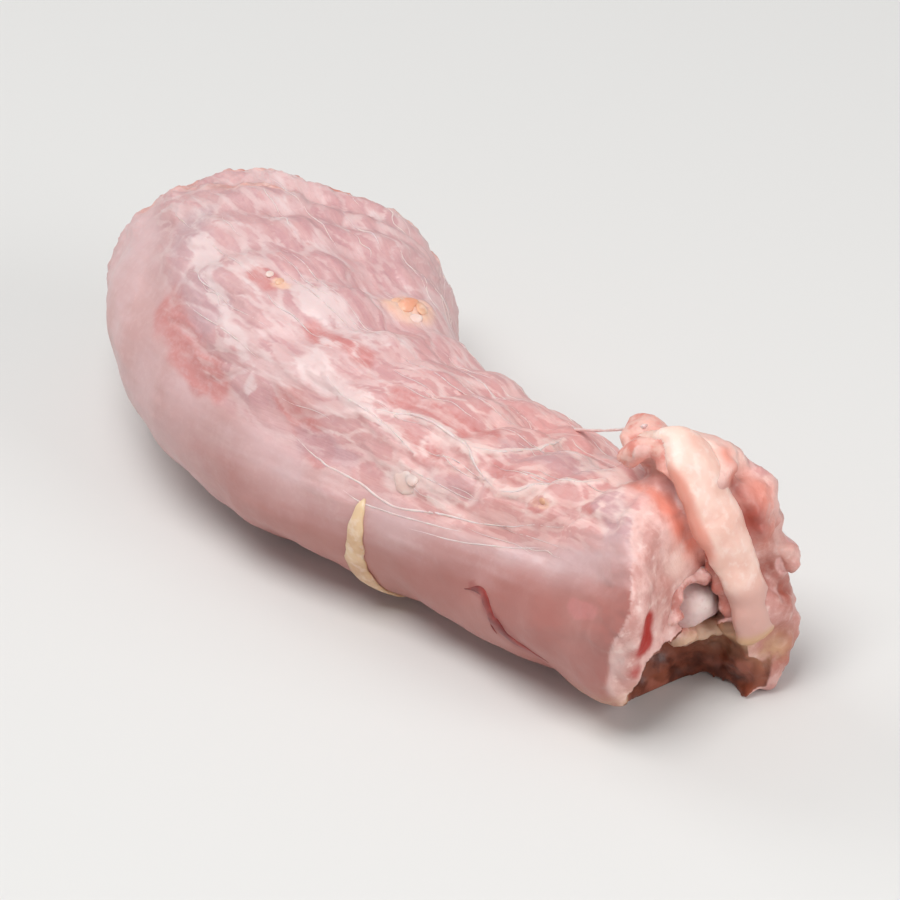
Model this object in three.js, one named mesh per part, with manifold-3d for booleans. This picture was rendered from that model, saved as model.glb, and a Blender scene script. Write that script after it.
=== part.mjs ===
// A raw turkey neck: skinned, cut through at both ends, lying on its side and bent like a bow.
// Millimetres, +Z up. The bow lies level, with the outside of the bend towards -Y.
// The thick end is at -X, and the cut end with the band of fat is at +X.
// The origin is on the ground, under the middle of the neck.

import * as THREE from 'three';
import { mergeVertices } from 'three/addons/utils/BufferGeometryUtils.js';
import { ImprovedNoise } from 'three/addons/math/ImprovedNoise.js';
import Module from 'manifold-3d';

const wasm = await Module();
wasm.setup();

// ---------------------------------------------------------------- driving dimensions

// The middle line: straight from the thick end, then a bend, then straight to the cut end.
const THICK_END_STRAIGHT = 18;
const BEND_RADIUS = 62;
const BEND_DEGREES = 42;
const CUT_END_STRAIGHT = 73;
const THICK_END_HEADING = -31; // degrees from +X
const BEND_LENGTH = BEND_RADIUS * THREE.MathUtils.degToRad(BEND_DEGREES);
const LENGTH = THICK_END_STRAIGHT + BEND_LENGTH + CUT_END_STRAIGHT; // along the middle line
const FLATTENED = 1.4; // how far the soft flesh is pressed flat against the ground

// Half the width and half the height of the neck at shares of its length, from the thick end.
const GIRTH = [
  { share: 0.0, halfWidth: 30.0, halfHeight: 20.5 },
  { share: 0.25, halfWidth: 28.0, halfHeight: 22.0 },
  { share: 0.51, halfWidth: 19.5, halfHeight: 18.5 },
  { share: 0.73, halfWidth: 17.5, halfHeight: 17.0 },
  { share: 0.91, halfWidth: 17.5, halfHeight: 18.8 },
  { share: 1.0, halfWidth: 18.5, halfHeight: 21.0 },
];
const THICK_END_ROUNDING = 13;
const CUT_END_ROUNDING = 4;
// How far the ends lean: mm further out for each mm across and each mm up.
const THICK_END_LEAN = [-0.4, 0];
const CUT_END_LEAN = [0.25, -0.15];
const LEAN_REACH = 22;

// Long muscles and the seams between them. Degrees round the neck: 0 faces the inside of the bend, 90 up.
const LONG_FORMS = [
  { about: 'smooth outer muscle', from: 186, to: 184, spread: 28, lift: 1.2 },
  { about: 'seam over it', from: 152, to: 140, spread: 8, lift: -1.1 },
  { about: 'upper muscle', from: 114, to: 106, spread: 20, lift: 0.9 },
  { about: 'inner seam', from: 62, to: 66, spread: 8, lift: -1.0 },
  { about: 'inner muscle', from: 38, to: 40, spread: 16, lift: 1.2 },
  { about: 'windpipe furrow', from: 6, to: 4, spread: 13, lift: -2.4 },
  { about: 'lower inner muscle', from: -30, to: -32, spread: 16, lift: 1.2 },
];
const SEAM_FADE_LENGTH = 55; // a seam comes and goes along the neck at this distance
const SEAM_FADING = 0.35;
const VERTEBRA_PITCH = 11; // the short muscles between two bones repeat at this distance
const VERTEBRA_LIFT = 0.9;
const VERTEBRA_SLANT = 0.9; // pitches by which the short muscles lean over a quarter turn
const SHORT_MUSCLES_AT = 85; // degrees round the neck
const SHORT_MUSCLES_SPREAD = 62;
const NOISE_GAIN = 1.6; // brings the noise to about -1 to 1
const SURFACE_LUMP = 10; // size of the soft unevenness
const SURFACE_LIFT = 0.9;
const SURFACE_SEED = 3;
const RAGGED_LUMP = 7.5; // size of the torn flesh at the ends
const RAGGED_LIFT = 1.3;
const RAGGED_REACH = 13; // how far from an end the flesh is ragged
const RAGGED_SEED = 7;
const FACE_LIFT = 0.9; // unevenness of the two end faces
const FACE_SEED = 11;
const RELIEF_REACH = 6.5; // how far into the neck the relief of an end face reaches

// The flesh under the bone is torn out at the cut end: mm across, up and out, and the radii of the hollow.
const HOLLOW = { at: [-3, -14.2, 0], radii: [11.8, 11.4, 12] };
const HOLLOW_SEED = 20;

const AROUND = 12; // steps along each of the four sides round the neck
const ALONG = 50;
const END_CROWDING = 0.05;

// Relief of the two end faces: mm across and up from the middle of the face, and mm out.
const CUT_END_RELIEF = [
  { about: 'valley round the bone', at: [0, 0.5], spread: [6, 6], lift: -4.0 },
  { about: 'near lip', at: [-17, 10], spread: [6, 11], lift: 9.0 },
  { about: 'cut back at the top', at: [1, 22], spread: [9, 5], lift: -4.0 },
  { about: 'cut back below', at: [-12, -19], spread: [6, 5], lift: -2.0 },
  { about: 'dark pit', at: [10, 10], spread: [3, 4.5], lift: -5.0 },
];
const THICK_END_RELIEF = [
  { about: 'round the bone', at: [-1, -1], spread: [11, 8], lift: -4.0 },
  { about: 'between two muscles', at: [8, 14], spread: [3.5, 8], lift: -3.5 },
  { about: 'between the lower muscles', at: [-13, -12], spread: [3.5, 7], lift: -3.5 },
];

// The band of fat that hangs over the cut end: mm across, up and out from the middle of the face.
const BAND_LINE = [
  [-0.5, 22.5, -14],
  [0.5, 25.5, -9.5],
  [1.5, 23.5, -4.8],
  [2.5, 16.6, -1.4],
  [4.6, 8.7, 0.4],
  [6.6, 1.4, 1.6],
  [7.6, -5.1, 2.4],
  [8.4, -11.5, 2.2],
];
const BAND_WIDTH = 8;
const BAND_THICKNESS = 4;
const BAND_AROUND = 3;
const BAND_ALONG = 22;
const BAND_UNEVENNESS = 0.12;
const BAND_SEED = 5;

// Torn lumps of flesh on the ends: mm across, up and out, and their radii.
const CUT_END_LUMPS = [
  { about: 'knob at the top', at: [3.5, 22.5, -14.5], radii: [4.4, 4.2, 4.8] },
  { about: 'top flap', at: [6.5, 18.5, -7], radii: [7.5, 6.5, 7.2] },
  { about: 'far flap', at: [11, 10, -3.5], radii: [7.0, 9.5, 7.0] },
  { about: 'lower far flap', at: [9.4, -4, -1], radii: [6.4, 8.5, 6.6] },
  { about: 'far corner', at: [10.5, -13, -0.5], radii: [4.6, 7.5, 6.0] },
  { about: 'gristle tip', at: [14.5, 3, 1.5], radii: [2.8, 3.4, 3.8] },
];
const THICK_END_LUMPS = [
  { about: 'outer muscle', at: [-16, 3, -1.5], radii: [11.0, 11.0, 8.5] },
  { about: 'upper muscle', at: [-2, 10, -5], radii: [10.5, 8.5, 7.5] },
  { about: 'inner muscle', at: [14.5, 2, -11], radii: [10.0, 11.5, 8.5] },
  { about: 'lower muscle', at: [-1, -11, -5], radii: [12.0, 7.0, 7.0] },
  { about: 'torn scrap', at: [-13, 11, 3], radii: [4.5, 3.5, 4.5] },
];
const LUMP_ROUGHNESS = 0.2; // share of a lump's radius
const LUMP_DENT = 0.8; // size of a dent, in the same share
const LUMP_DETAIL = 3;

// The neck bones, which run through the flesh and show at both ends.
const BONE_HALF_WIDTH = 5.2;
const BONE_HALF_HEIGHT = 4.9;
const BONE_AT_THICK_END = [0, -1]; // mm across and up from the middle line
const BONE_AT_CUT_END = [2.2, -1.4];
const BONE_NOTCH = 1; // depth of the groove along its underside
const BONE_NOTCH_AT = 270; // degrees round the bone
const BONE_NOTCH_SPREAD = 34;
const BONE_KNUCKLE = 0.8; // how far the bone swells at its two ends
const KNUCKLE_REACH = 9;
const BONE_BEYOND_CUT_END = -2.6;
const BONE_BEYOND_THICK_END = -0.5;
const CORD_CANAL_RADIUS = 1.9; // the hole for the spinal cord, which shows at the thick end
const CORD_CANAL_DEPTH = 7;
const CORD_CANAL_UP = 2.4;
const CORD_CANAL_SIDES = 14;
const BONE_AROUND = 4;
const BONE_ALONG = 28;
const BONE_ROUNDING = 2.2; // of the rims of its ends
const BONE_DOME = 1.6; // how far its ends bulge
const BONE_CUT_BEYOND = 1.5; // how far the room for the bone goes past its ends
const GAP = 0.45; // between bone and flesh

// ---------------------------------------------------------------- helpers

const noise = new ImprovedNoise();
const radians = THREE.MathUtils.degToRad;

// Soft noise that is the same on every run.
function unevenness(point, size, seed) {
  return NOISE_GAIN * noise.noise(point.x / size + seed, point.y / size - seed, point.z / size + 2 * seed);
}

function bell(distance, spread) {
  return Math.exp(-((distance / spread) ** 2));
}

const girthSpline = new THREE.CubicInterpolant(
  GIRTH.map((g) => g.share),
  GIRTH.flatMap((g) => [g.halfWidth, g.halfHeight]),
  2,
);

function girthAt(share) {
  const [halfWidth, halfHeight] = girthSpline.evaluate(THREE.MathUtils.clamp(share, 0, 1));
  return { halfWidth, halfHeight };
}

// The middle line and its directions at a share of the length: across points to the inside of the bend.
function frameAt(share) {
  const intoBend = share * LENGTH - THICK_END_STRAIGHT;
  const inBend = THREE.MathUtils.clamp(intoBend, 0, BEND_LENGTH);
  const turn = inBend / BEND_RADIUS;
  const out = new THREE.Vector3(Math.cos(turn), Math.sin(turn), 0);
  const centre = new THREE.Vector3(BEND_RADIUS * Math.sin(turn), BEND_RADIUS * (1 - Math.cos(turn)), 0);
  centre.addScaledVector(out, intoBend - inBend);
  const up = new THREE.Vector3(0, 0, 1);
  const heading = radians(THICK_END_HEADING);
  out.applyAxisAngle(up, heading);
  centre.applyAxisAngle(up, heading);
  centre.z = girthAt(share).halfHeight - FLATTENED;
  return { centre, out, across: new THREE.Vector3(-out.y, out.x, 0), up };
}

// A point given as [across, up, out] from the middle of an end face. Out points away from the neck.
function onEnd(share, [across, up, out]) {
  const frame = frameAt(share);
  const away = share > 0.5 ? 1 : -1;
  return frame.centre
    .addScaledVector(frame.across, across)
    .addScaledVector(frame.up, up)
    .addScaledVector(frame.out, out * away);
}

function solidOf(geometry) {
  const bare = geometry.clone();
  bare.deleteAttribute('normal');
  bare.deleteAttribute('uv');
  const merged = mergeVertices(bare, 1e-4);
  return new wasm.Manifold(
    new wasm.Mesh({
      numProp: 3,
      vertProperties: merged.attributes.position.array,
      triVerts: new Uint32Array(merged.index.array),
    }),
  );
}

function meshOf(name, solid, material) {
  const { vertProperties, triVerts } = solid.getMesh();
  const geometry = new THREE.BufferGeometry();
  geometry.setAttribute('position', new THREE.BufferAttribute(vertProperties, 3));
  geometry.setIndex(new THREE.BufferAttribute(triVerts, 1));
  geometry.computeVertexNormals();
  const mesh = new THREE.Mesh(geometry, material);
  mesh.name = name;
  return mesh;
}

// Moves every vertex of a geometry to where the function puts it.
function reshape(geometry, move) {
  const position = geometry.attributes.position;
  const point = new THREE.Vector3();
  for (let i = 0; i < position.count; i++) {
    point.fromBufferAttribute(position, i);
    const moved = move(point);
    position.setXYZ(i, moved.x, moved.y, moved.z);
  }
  return geometry;
}

// A box with fine sides becomes a rod: its length runs along the neck, and its square ends become discs.
// Each vertex gets the share of the length, the angle round the rod and the share of the radius.
function rodGeometry(around, along, place) {
  const box = new THREE.BoxGeometry(2, 2, 2, along, around, around);
  return reshape(box, ({ x, y, z }) => {
    const radiusShare = Math.max(Math.abs(y), Math.abs(z));
    const sideways = Math.abs(y) > Math.abs(z);
    const eighth = (Math.PI / 4) * (sideways ? z / y : z === 0 ? 0 : y / z);
    const angle = sideways ? (y > 0 ? eighth : Math.PI + eighth) : (z > 0 ? 1 : 3) * (Math.PI / 2) - eighth;
    return place({ share: (x + 1) / 2, angle, radiusShare, onFace: Math.abs(x) === 1 });
  });
}

// ---------------------------------------------------------------- flesh

// Steps are closer together at the ends, where the flesh is torn.
function closerAtEnds(share) {
  return share - END_CROWDING * Math.sin(2 * Math.PI * share);
}

function ellipseRadius(halfWidth, halfHeight, angle) {
  return (halfWidth * halfHeight) / Math.hypot(halfHeight * Math.cos(angle), halfWidth * Math.sin(angle));
}

function degreesBetween(a, b) {
  return THREE.MathUtils.euclideanModulo(a - b + 180, 360) - 180;
}

// The seams and muscles come and go a little along the neck.
function longForms(share, degrees) {
  return LONG_FORMS.reduce((lift, form, i) => {
    const middle = THREE.MathUtils.lerp(form.from, form.to, share);
    const strength = 1 + SEAM_FADING * Math.sin((2 * Math.PI * share * LENGTH) / SEAM_FADE_LENGTH + i);
    return lift + form.lift * strength * bell(degreesBetween(degrees, middle), form.spread);
  }, 0);
}

// The short slanting muscles between the bones show on the upper and inner sides only.
function shortMuscles(share, degrees) {
  const shown = bell(degreesBetween(degrees, SHORT_MUSCLES_AT), SHORT_MUSCLES_SPREAD);
  const pitches = (share * LENGTH) / VERTEBRA_PITCH + (VERTEBRA_SLANT * degrees) / 90;
  return VERTEBRA_LIFT * shown * (2 * Math.abs(Math.sin(Math.PI * pitches)) - 1);
}

function endRelief(forms, across, up) {
  return forms.reduce(
    (lift, { at, spread, lift: height }) =>
      lift + height * bell(across - at[0], spread[0]) * bell(up - at[1], spread[1]),
    0,
  );
}

// How far the section draws in, at a distance from an end, to round its rim.
function rimInset(distance, rounding) {
  const inside = THREE.MathUtils.clamp(1 - distance / rounding, 0, 1);
  return rounding * (1 - Math.sqrt(1 - inside * inside));
}

function fleshPoint({ share: step, angle, radiusShare, onFace }) {
  const share = closerAtEnds(step);
  const frame = frameAt(share);
  const { halfWidth, halfHeight } = girthAt(share);
  const degrees = THREE.MathUtils.radToDeg(angle);
  const atCutEnd = share > 0.5;
  const toEnd = (atCutEnd ? 1 - share : share) * LENGTH;
  const inset = rimInset(toEnd, atCutEnd ? CUT_END_ROUNDING : THICK_END_ROUNDING);
  const whole = ellipseRadius(halfWidth, halfHeight, angle) + longForms(share, degrees);
  const radius = radiusShare * (whole + shortMuscles(share, degrees) - inset);
  const across = radius * Math.cos(angle);
  const up = radius * Math.sin(angle);
  const outward = frame.across.clone().multiplyScalar(Math.cos(angle));
  outward.addScaledVector(frame.up, Math.sin(angle));
  const point = frame.centre.clone().addScaledVector(outward, radius);
  const soft = SURFACE_LIFT * unevenness(point, SURFACE_LUMP, SURFACE_SEED);
  const torn = RAGGED_LIFT * bell(toEnd, RAGGED_REACH) * unevenness(point, RAGGED_LUMP, RAGGED_SEED);
  const lean = atCutEnd ? CUT_END_LEAN : THICK_END_LEAN;
  const leaning = (lean[0] * across + lean[1] * up) * bell(toEnd, LEAN_REACH);
  const forms = atCutEnd ? CUT_END_RELIEF : THICK_END_RELIEF;
  const relief = endRelief(forms, across, up) * bell(toEnd, RELIEF_REACH);
  const tornFace = onFace ? FACE_LIFT * unevenness(point, RAGGED_LUMP, FACE_SEED) : 0;
  return point
    .addScaledVector(outward, (soft + torn) * radiusShare)
    .addScaledVector(frame.out, (leaning + relief + tornFace) * (atCutEnd ? 1 : -1));
}

function lump(share, { at, radii }, seed) {
  const centre = onEnd(share, at);
  const frame = frameAt(share);
  const turn = new THREE.Matrix4().makeBasis(frame.across, frame.up, frame.across.clone().cross(frame.up));
  const ball = reshape(new THREE.IcosahedronGeometry(1, LUMP_DETAIL), (unit) => {
    const rough = 1 + LUMP_ROUGHNESS * unevenness(unit, LUMP_DENT, seed);
    return unit.clone().multiplyScalar(rough).multiply(new THREE.Vector3(...radii));
  });
  return solidOf(ball.applyMatrix4(turn).translate(centre.x, centre.y, centre.z));
}

// A strip along a line, wide across the face and thin towards it.
function fatBand() {
  const line = new THREE.CatmullRomCurve3(BAND_LINE.map((p) => onEnd(1, p)));
  const { out } = frameAt(1);
  return solidOf(
    rodGeometry(BAND_AROUND, BAND_ALONG, ({ share, angle, radiusShare }) => {
      const along = line.getTangentAt(share);
      const sideways = out.clone().cross(along).normalize();
      const outwards = along.clone().cross(sideways);
      const point = line.getPointAt(share);
      const fullness = 1 + BAND_UNEVENNESS * unevenness(point, BAND_WIDTH, BAND_SEED);
      return point
        .addScaledVector(sideways, (radiusShare * fullness * BAND_WIDTH * Math.cos(angle)) / 2)
        .addScaledVector(outwards, (radiusShare * fullness * BAND_THICKNESS * Math.sin(angle)) / 2);
    }),
  );
}

// ---------------------------------------------------------------- bone

// grow is the thickness of a skin round the bone, and beyond how far the ends run on.
function boneGeometry(grow, beyond) {
  const from = -BONE_BEYOND_THICK_END - beyond;
  const to = LENGTH + BONE_BEYOND_CUT_END + beyond;
  return rodGeometry(BONE_AROUND, BONE_ALONG, ({ share: step, angle, radiusShare, onFace }) => {
    const along = THREE.MathUtils.lerp(from, to, closerAtEnds(step));
    const frame = frameAt(along / LENGTH);
    const knuckle = BONE_KNUCKLE * (bell(along, KNUCKLE_REACH) + bell(LENGTH - along, KNUCKLE_REACH));
    const fromNotch = degreesBetween(THREE.MathUtils.radToDeg(angle), BONE_NOTCH_AT);
    const notch = BONE_NOTCH * bell(fromNotch, BONE_NOTCH_SPREAD);
    const inset = rimInset(Math.min(along - from, to - along), BONE_ROUNDING);
    const full = ellipseRadius(BONE_HALF_WIDTH, BONE_HALF_HEIGHT, angle) + knuckle - notch + grow;
    const radius = radiusShare * (full - inset);
    const dome = onFace ? BONE_DOME * (1 - radiusShare ** 2) * (step > 0.5 ? 1 : -1) : 0;
    const [across, up] = bonePlace(along / LENGTH);
    return frame.centre
      .addScaledVector(frame.across, across + radius * Math.cos(angle))
      .addScaledVector(frame.up, up + radius * Math.sin(angle))
      .addScaledVector(frame.out, dome);
  });
}

function bonePlace(share) {
  const along = THREE.MathUtils.clamp(share, 0, 1);
  return BONE_AT_THICK_END.map((from, i) => THREE.MathUtils.lerp(from, BONE_AT_CUT_END[i], along));
}

function cordCanal() {
  const canal = new THREE.CylinderGeometry(
    CORD_CANAL_RADIUS,
    CORD_CANAL_RADIUS,
    2 * CORD_CANAL_DEPTH,
    CORD_CANAL_SIDES,
  );
  const lengthwise = new THREE.Vector3(0, 1, 0);
  canal.applyQuaternion(new THREE.Quaternion().setFromUnitVectors(lengthwise, frameAt(0).out));
  const [across, up] = bonePlace(0);
  const middle = onEnd(0, [across, up + CORD_CANAL_UP, BONE_BEYOND_THICK_END]);
  return solidOf(canal.translate(middle.x, middle.y, middle.z));
}

function boneSolid() {
  return solidOf(boneGeometry(0, 0)).subtract(cordCanal());
}

// ---------------------------------------------------------------- the whole neck

// Everything below the ground is cut away, which leaves the flat that the neck lies on.
function ground() {
  const slab = new THREE.BoxGeometry(4 * LENGTH, 4 * LENGTH, LENGTH);
  return solidOf(slab.translate(0, 0, -LENGTH / 2));
}

function fleshSolid() {
  let flesh = solidOf(rodGeometry(AROUND, ALONG, fleshPoint));
  flesh = flesh.subtract(lump(1, HOLLOW, HOLLOW_SEED));
  CUT_END_LUMPS.forEach((form, i) => {
    flesh = flesh.add(lump(1, form, i));
  });
  THICK_END_LUMPS.forEach((form, i) => {
    flesh = flesh.add(lump(0, form, CUT_END_LUMPS.length + i));
  });
  return flesh.add(fatBand()).subtract(solidOf(boneGeometry(GAP, BONE_CUT_BEYOND))).subtract(ground());
}

const fleshMaterial = new THREE.MeshStandardMaterial({ color: 0xd3a5a6, roughness: 0.35, metalness: 0 });
const boneMaterial = new THREE.MeshStandardMaterial({ color: 0xe6cfc4, roughness: 0.5, metalness: 0 });

const neck = new THREE.Group();
neck.add(meshOf('neck_flesh', fleshSolid(), fleshMaterial));
neck.add(meshOf('neck_bone', boneSolid(), boneMaterial));

const bounds = new THREE.Box3().setFromObject(neck);
const middle = bounds.getCenter(new THREE.Vector3());
neck.position.set(-middle.x, -middle.y, -bounds.min.z);

export default neck;
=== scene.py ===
# %% [markdown]
# # A raw turkey neck
# The neck is skinned, cut through at both ends and bent like a bow. It lies on its side. What makes it
# look real is not its outline but its surface: a wet film over bundles of muscle, white sheets and
# threads of gristle, soft lumps of fat, and torn flesh round the bone at the two cuts.
#
# The measured model comes first. It gives the size and the place of everything, in metres, and this
# lesson dresses it without moving it.

# %% The measured model
import math

import bmesh
import bpy
import numpy as np
from mathutils import Matrix, Vector, noise
from mathutils.bvhtree import BVHTree


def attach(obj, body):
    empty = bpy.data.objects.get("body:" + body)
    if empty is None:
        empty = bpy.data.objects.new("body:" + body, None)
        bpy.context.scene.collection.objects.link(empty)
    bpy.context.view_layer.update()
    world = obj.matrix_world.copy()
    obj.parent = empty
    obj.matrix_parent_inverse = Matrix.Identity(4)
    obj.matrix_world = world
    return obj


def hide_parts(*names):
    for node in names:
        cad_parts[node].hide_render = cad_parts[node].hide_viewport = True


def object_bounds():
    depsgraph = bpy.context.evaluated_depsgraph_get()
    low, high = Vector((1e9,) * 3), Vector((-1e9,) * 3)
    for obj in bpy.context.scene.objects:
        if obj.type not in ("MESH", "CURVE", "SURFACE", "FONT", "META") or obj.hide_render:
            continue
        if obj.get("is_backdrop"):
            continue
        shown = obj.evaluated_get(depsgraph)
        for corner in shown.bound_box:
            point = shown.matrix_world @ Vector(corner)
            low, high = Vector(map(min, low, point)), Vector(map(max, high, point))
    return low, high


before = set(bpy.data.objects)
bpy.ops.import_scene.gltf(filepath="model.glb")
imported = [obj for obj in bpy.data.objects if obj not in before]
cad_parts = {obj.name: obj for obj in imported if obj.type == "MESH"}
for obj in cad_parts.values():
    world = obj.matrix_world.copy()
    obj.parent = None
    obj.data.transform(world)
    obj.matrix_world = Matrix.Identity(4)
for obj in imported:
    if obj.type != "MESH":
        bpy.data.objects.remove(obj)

cad_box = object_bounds()
MM = 0.001
print("measured model, mm:", [round(side / MM, 1) for side in cad_box[1] - cad_box[0]])

# %% [markdown]
# ## The line through the middle of the neck
# Muscles, seams and threads all follow the neck as it bends. So each feature is placed by how far it is
# along the middle line and by its angle round it, not by x, y and z. The angle is in degrees: 0 faces
# the inside of the bend, 90 is up, 180 is the outside of the bend, and 270 is down.
#
# A curve object could carry these places too. Plain arithmetic on arrays is used, because it answers for
# a hundred thousand points at once.

# %% The middle line
THICK_END_STRAIGHT = 18 * MM
BEND_RADIUS = 62 * MM
BEND = math.radians(42)
CUT_END_STRAIGHT = 73 * MM
LENGTH = THICK_END_STRAIGHT + BEND_RADIUS * BEND + CUT_END_STRAIGHT
THICK_END_HEADING = math.radians(-31)
BEND_START = np.array([-42.02, 4.57]) * MM
MIDDLE_SHARES = [0.0, 0.25, 0.51, 0.73, 0.91, 1.0]
MIDDLE_HEIGHTS = np.array([19.1, 20.6, 17.1, 15.6, 17.4, 19.6]) * MM
UNDERSIDE = -90


def turned(x, y, angle):
    """Points in a plane, turned about its origin."""
    return x * math.cos(angle) - y * math.sin(angle), x * math.sin(angle) + y * math.cos(angle)


def neck_places(points):
    """For an array of points: distance along the middle line, and across and up from it."""
    flat = points[:, :2] - BEND_START
    x, y = turned(flat[:, 0], flat[:, 1], -THICK_END_HEADING)
    turn = np.clip(np.arctan2(x, BEND_RADIUS - y), 0, BEND)
    x = x - BEND_RADIUS * np.sin(turn)
    y = y - BEND_RADIUS * (1 - np.cos(turn))
    along = THICK_END_STRAIGHT + BEND_RADIUS * turn + x * np.cos(turn) + y * np.sin(turn)
    across = y * np.cos(turn) - x * np.sin(turn)
    return along, across, points[:, 2] - middle_height(along)


def middle_height(along):
    return np.interp(along / LENGTH, MIDDLE_SHARES, MIDDLE_HEIGHTS)


def degrees_round(across, up):
    """Degrees round the neck, from -90 to 270, so that the count starts and ends on the underside."""
    return (np.degrees(np.arctan2(up, across)) - UNDERSIDE) % 360 + UNDERSIDE


def middle_frame(along):
    """The middle line at one distance: its point, and the directions across, up and out."""
    turn = min(max((along - THICK_END_STRAIGHT) / BEND_RADIUS, 0), BEND)
    rest = along - THICK_END_STRAIGHT - BEND_RADIUS * turn
    x = BEND_RADIUS * math.sin(turn) + rest * math.cos(turn)
    y = BEND_RADIUS * (1 - math.cos(turn)) + rest * math.sin(turn)
    x, y = turned(x, y, THICK_END_HEADING)
    heading = turn + THICK_END_HEADING
    out = Vector((math.cos(heading), math.sin(heading), 0))
    centre = Vector((x + BEND_START[0], y + BEND_START[1], middle_height(along)))
    return centre, Vector((-out.y, out.x, 0)), Vector((0, 0, 1)), out


print("middle line, mm:", round(LENGTH / MM, 1))

# %% [markdown]
# ## Floor, light and camera
# The neck lies on a pale floor under a soft lamp, with weaker ones towards the cut end and from behind, and
# an even grey sky. Small lamps would burn hard white spots into the wet film. The camera stands far away
# with a long lens, because a near one would make the cut end look too large.

# %% Camera
CAMERA_AZIMUTH = math.radians(60.6)
CAMERA_ELEVATION = math.radians(33.2)
CAMERA_ROLL = math.radians(5.2)
CAMERA_DISTANCE = 0.9
PICTURE_WIDTH = 0.146  # how much the picture takes in, at the neck
AIM_RIGHT = 9 * MM
AIM_DOWN = 7.4 * MM
SENSOR = 36

back = Vector((
    math.sin(CAMERA_AZIMUTH) * math.cos(CAMERA_ELEVATION),
    -math.cos(CAMERA_AZIMUTH) * math.cos(CAMERA_ELEVATION),
    math.sin(CAMERA_ELEVATION),
))
level_right = Vector((math.cos(CAMERA_AZIMUTH), math.sin(CAMERA_AZIMUTH), 0))
level_up = back.cross(level_right)
right = level_right * math.cos(CAMERA_ROLL) - level_up * math.sin(CAMERA_ROLL)
upright = level_right * math.sin(CAMERA_ROLL) + level_up * math.cos(CAMERA_ROLL)
aim = (cad_box[0] + cad_box[1]) / 2 + right * AIM_RIGHT - upright * AIM_DOWN

camera = bpy.data.objects.new("camera", bpy.data.cameras.new("camera"))
camera.data.sensor_width = SENSOR
camera.data.lens = SENSOR * CAMERA_DISTANCE / PICTURE_WIDTH
turned_to = Matrix((right, upright, back)).transposed().to_4x4()
camera.matrix_world = Matrix.Translation(aim + back * CAMERA_DISTANCE) @ turned_to
scene = bpy.context.scene
scene.collection.objects.link(camera)
scene.camera = camera
print("lens, mm:", round(camera.data.lens))

# %% Floor and lamps
FLOOR_SIZE = 6
FLOOR_COLOUR = (0.72, 0.71, 0.69, 1)
LAMP_SIZE = 0.5
SKY_COLOUR = (0.95, 0.97, 1.0, 1)


def soft_lamp(name, place, power):
    """A square lamp that shines on the neck."""
    lamp = bpy.data.objects.new(name, bpy.data.lights.new(name, "AREA"))
    lamp.data.size = LAMP_SIZE
    lamp.data.energy = power
    lamp.location = place
    lamp.rotation_euler = (-Vector(place)).to_track_quat("-Z", "Y").to_euler()
    scene.collection.objects.link(lamp)


shape = bmesh.new()
bmesh.ops.create_grid(shape, x_segments=1, y_segments=1, size=FLOOR_SIZE / 2)
floor = bpy.data.objects.new("floor", bpy.data.meshes.new("floor"))
shape.to_mesh(floor.data)
shape.free()
scene.collection.objects.link(floor)
floor_paint = bpy.data.materials.new("floor_paint")
floor_paint.use_nodes = True
floor_sockets = floor_paint.node_tree.nodes["Principled BSDF"].inputs
floor_sockets["Base Color"].default_value = FLOOR_COLOUR
floor_sockets["Roughness"].default_value = 0.9
floor.data.materials.append(floor_paint)
floor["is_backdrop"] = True

soft_lamp("key_lamp", (0.15, -0.25, 0.95), 6.5)
soft_lamp("side_lamp", (0.85, 0.30, 0.40), 3.4)
soft_lamp("back_lamp", (-0.75, -0.20, 0.60), 2.0)
sky = bpy.data.worlds.new("sky")
scene.world = sky
sky.use_nodes = True
sky_sockets = sky.node_tree.nodes["Background"].inputs
sky_sockets["Color"].default_value = SKY_COLOUR
sky_sockets["Strength"].default_value = 0.34
scene.view_settings.view_transform = "Standard"

# %% [markdown]
# ## Writing a finish
# A finish is a graph of nodes. Written out node by node it can't be read. So one small class lets a number
# that changes over the surface be used in sums, as in `1 - film`, and another adds any other node. Colours
# are given as they look on a screen, and are turned into the light values that Blender mixes.

# %% Helpers for finishes
def paint(red, green, blue):
    """A screen colour, each part 0 to 255, as light values."""
    parts = [part / 255 for part in (red, green, blue)]
    return (*[p / 12.92 if p <= 0.04045 else ((p + 0.055) / 1.055) ** 2.4 for p in parts], 1)


class Value:
    """The output of a node. A sum with it adds a Math node."""

    def __init__(self, finish, socket):
        self.finish = finish
        self.socket = socket

    def maths(self, operation, *numbers):
        return self.finish.node("Math", {"operation": operation}, numbers)

    def __add__(self, other):
        return self.maths("ADD", self, other)

    def __sub__(self, other):
        return self.maths("SUBTRACT", self, other)

    def __rsub__(self, other):
        return self.maths("SUBTRACT", other, self)

    def __mul__(self, other):
        return self.maths("MULTIPLY", self, other)

    __radd__ = __add__
    __rmul__ = __mul__


WET = {"Subsurface_Scale": 0.0015, "Coat_Weight": 0.2, "Coat_Roughness": 0.25}


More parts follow.
